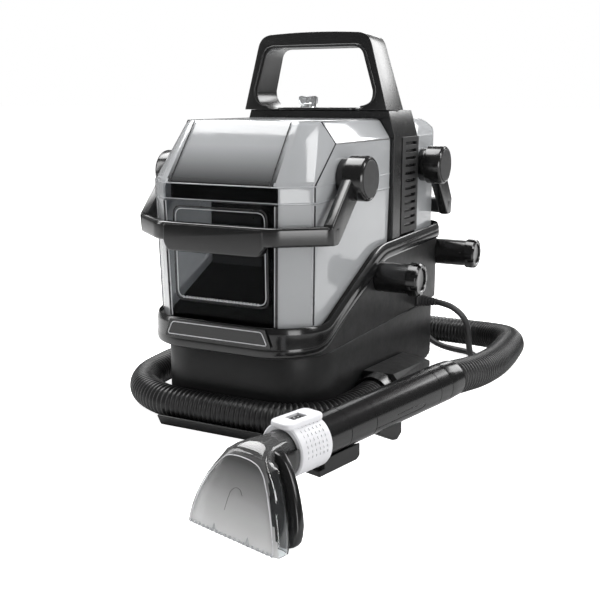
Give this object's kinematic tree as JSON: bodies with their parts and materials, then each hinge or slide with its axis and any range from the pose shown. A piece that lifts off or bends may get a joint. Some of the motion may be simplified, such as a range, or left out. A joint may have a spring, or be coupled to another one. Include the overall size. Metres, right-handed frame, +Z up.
{
  "type": "carpet cleaner machine",
  "caption": "Portable carpet and upholstery cleaner: two lift-off clear tanks with swing bails on a low base, carry handle, ribbed suction hose and a hand tool.",
  "frame": {"origin": "centre of the base's flat underside, on the floor, midway between the left and right sides", "axes": "+Z up, -Y towards the front (the tall front tank and the name plate), +X towards the hose outlet side"},
  "size_m": [0.4342, 0.8134, 0.4047],
  "materials": {
    "housing": "fine moulded grain, charcoal",
    "foot": "soft rubber",
    "belt": "polished black",
    "satin_black": "satin black, light grain",
    "vent": "matte black",
    "button_grey": "satin grey",
    "motor_metal": "drawn can",
    "impeller": "moulded nylon",
    "pump_body": "moulded nylon",
    "plunger": "acetal",
    "clear_plastic": "clear polished plastic",
    "gasket": "moulded seal",
    "float_white": "moulded white",
    "bail_black": "satin to gloss black",
    "bail_cap": "satin dark grey",
    "hose_rubber": "ribbed flexible hose, dark grey",
    "cord_rubber": "smooth jacket, dark grey",
    "tie": "woven hook-and-loop strap",
    "wand_gloss": "polished black",
    "wand_black": "satin black",
    "collar_white": "moulded light grey-white"
  },
  "bodies": {
    "root": {"base_tub": "housing", "base_pan": "housing", "upper_housing": "housing", "front_hose_cradle": "housing", "rear_cradle": "housing", "hose_port": "housing", "foot_fl": "foot", "foot_fr": "foot", "foot_rl": "foot", "foot_rr": "foot", "housing_rim": "belt", "name_plate": "belt", "wrap_cap_front": "belt", "wrap_cap_rear": "belt", "tower_housing": "satin_black", "tower_deck": "satin_black", "carry_handle": "satin_black", "wrap_post_front": "satin_black", "wrap_post_rear": "satin_black", "hose_cuff": "satin_black", "vent_grille_r": "vent", "vent_grille_l": "vent", "vacuum_motor": "motor_metal", "water_pump": "pump_body", "suction_hose": "hose_rubber", "cord_strain_relief": "cord_rubber", "power_cord": "cord_rubber", "cord_coil": "cord_rubber", "power_plug": "cord_rubber", "cord_tie": "tie", "wand_body": "wand_gloss", "wand_end_cap": "wand_gloss", "wand_guard": "wand_black"},
    "front_tank": {"front_tank": "clear_plastic", "tank_riser": "satin_black"},
    "front_lid": {"front_tank_lid": "clear_plastic", "front_tank_gasket": "gasket", "front_boss_r": "bail_black", "front_boss_l": "bail_black"},
    "front_bail": {"front_bail": "bail_black", "front_bail_cap_r": "bail_cap", "front_bail_cap_l": "bail_cap"},
    "tank_float": {"tank_float": "float_white"},
    "rear_tank": {"rear_tank": "clear_plastic", "rear_tank_valve": "satin_black", "rear_boss_r": "bail_black", "rear_boss_l": "bail_black"},
    "rear_bail": {"rear_bail": "bail_black", "rear_bail_cap_r": "bail_cap", "rear_bail_cap_l": "bail_cap"},
    "fill_cap": {"rear_fill_cap": "satin_black"},
    "release_knob": {"release_knob": "clear_plastic"},
    "power_button": {"power_button": "button_grey"},
    "vacuum_fan": {"vacuum_fan": "impeller"},
    "pump_plunger": {"pump_plunger": "plunger"},
    "trigger": {"wand_trigger": "wand_black"},
    "nozzle": {"nozzle_window": "clear_plastic", "nozzle_back": "wand_gloss", "nozzle_collar": "collar_white"},
    "nozzle_button": {"nozzle_button": "button_grey"}
  },
  "joints": [
    {"name": "front_tank_pull", "type": "slide", "parent": "root", "child": "front_tank", "axis": [0, -0.8, 0.6], "range_m": [0, 0.14]},
    {"name": "front_lid_lift", "type": "slide", "parent": "front_tank", "child": "front_lid", "axis": [0, -0.8, 0.6], "range_m": [0, 0.1]},
    {"name": "front_bail_swing", "type": "hinge", "parent": "front_lid", "child": "front_bail", "pos_m": [0, -0.0953, 0.2528], "axis": [-1, 0, 0], "range_deg": [0, 115]},
    {"name": "float_rise", "type": "slide", "parent": "front_tank", "child": "tank_float", "axis": [0, 0, 1], "range_m": [0, 0.014]},
    {"name": "rear_tank_lift", "type": "slide", "parent": "root", "child": "rear_tank", "axis": [0, 0, 1], "range_m": [0, 0.14]},
    {"name": "rear_bail_swing", "type": "hinge", "parent": "rear_tank", "child": "rear_bail", "pos_m": [0, 0.1307, 0.2528], "axis": [1, 0, 0], "range_deg": [0, 120]},
    {"name": "fill_cap_turn", "type": "hinge", "parent": "rear_tank", "child": "fill_cap", "pos_m": [0, 0.194, 0.258], "axis": [0, 1, 0], "range_deg": [0, 90]},
    {"name": "release_knob_turn", "type": "hinge", "parent": "root", "child": "release_knob", "pos_m": [-0.012, 0.033, 0.327], "axis": [0, 0, 1], "range_deg": [0, 90]},
    {"name": "power_button_press", "type": "slide", "parent": "root", "child": "power_button", "axis": [1, 0, 0], "range_m": [0, 0.0025], "stiffness_N_per_m": 600},
    {"name": "vacuum_fan_spin", "type": "hinge", "parent": "root", "child": "vacuum_fan", "pos_m": [0, 0.095, 0.115], "axis": [0, 0, 1], "continuous": true},
    {"name": "pump_plunger_stroke", "type": "slide", "parent": "root", "child": "pump_plunger", "axis": [0, 1, 0], "range_m": [0, 0.006], "stiffness_N_per_m": 300},
    {"name": "trigger_pull", "type": "hinge", "parent": "root", "child": "trigger", "pos_m": [0.18449, -0.22308, 0.04366], "axis": [0.967, -0.2549, 0], "range_deg": [0, 8], "stiffness_Nm_per_rad": 0.6},
    {"name": "nozzle_pull", "type": "slide", "parent": "root", "child": "nozzle", "axis": [-0.2549, -0.967, 0], "range_m": [0, 0.06]},
    {"name": "nozzle_button_press", "type": "slide", "parent": "nozzle", "child": "nozzle_button", "axis": [0, 0, -1], "range_m": [0, 0.0012], "stiffness_N_per_m": 600}
  ]
}
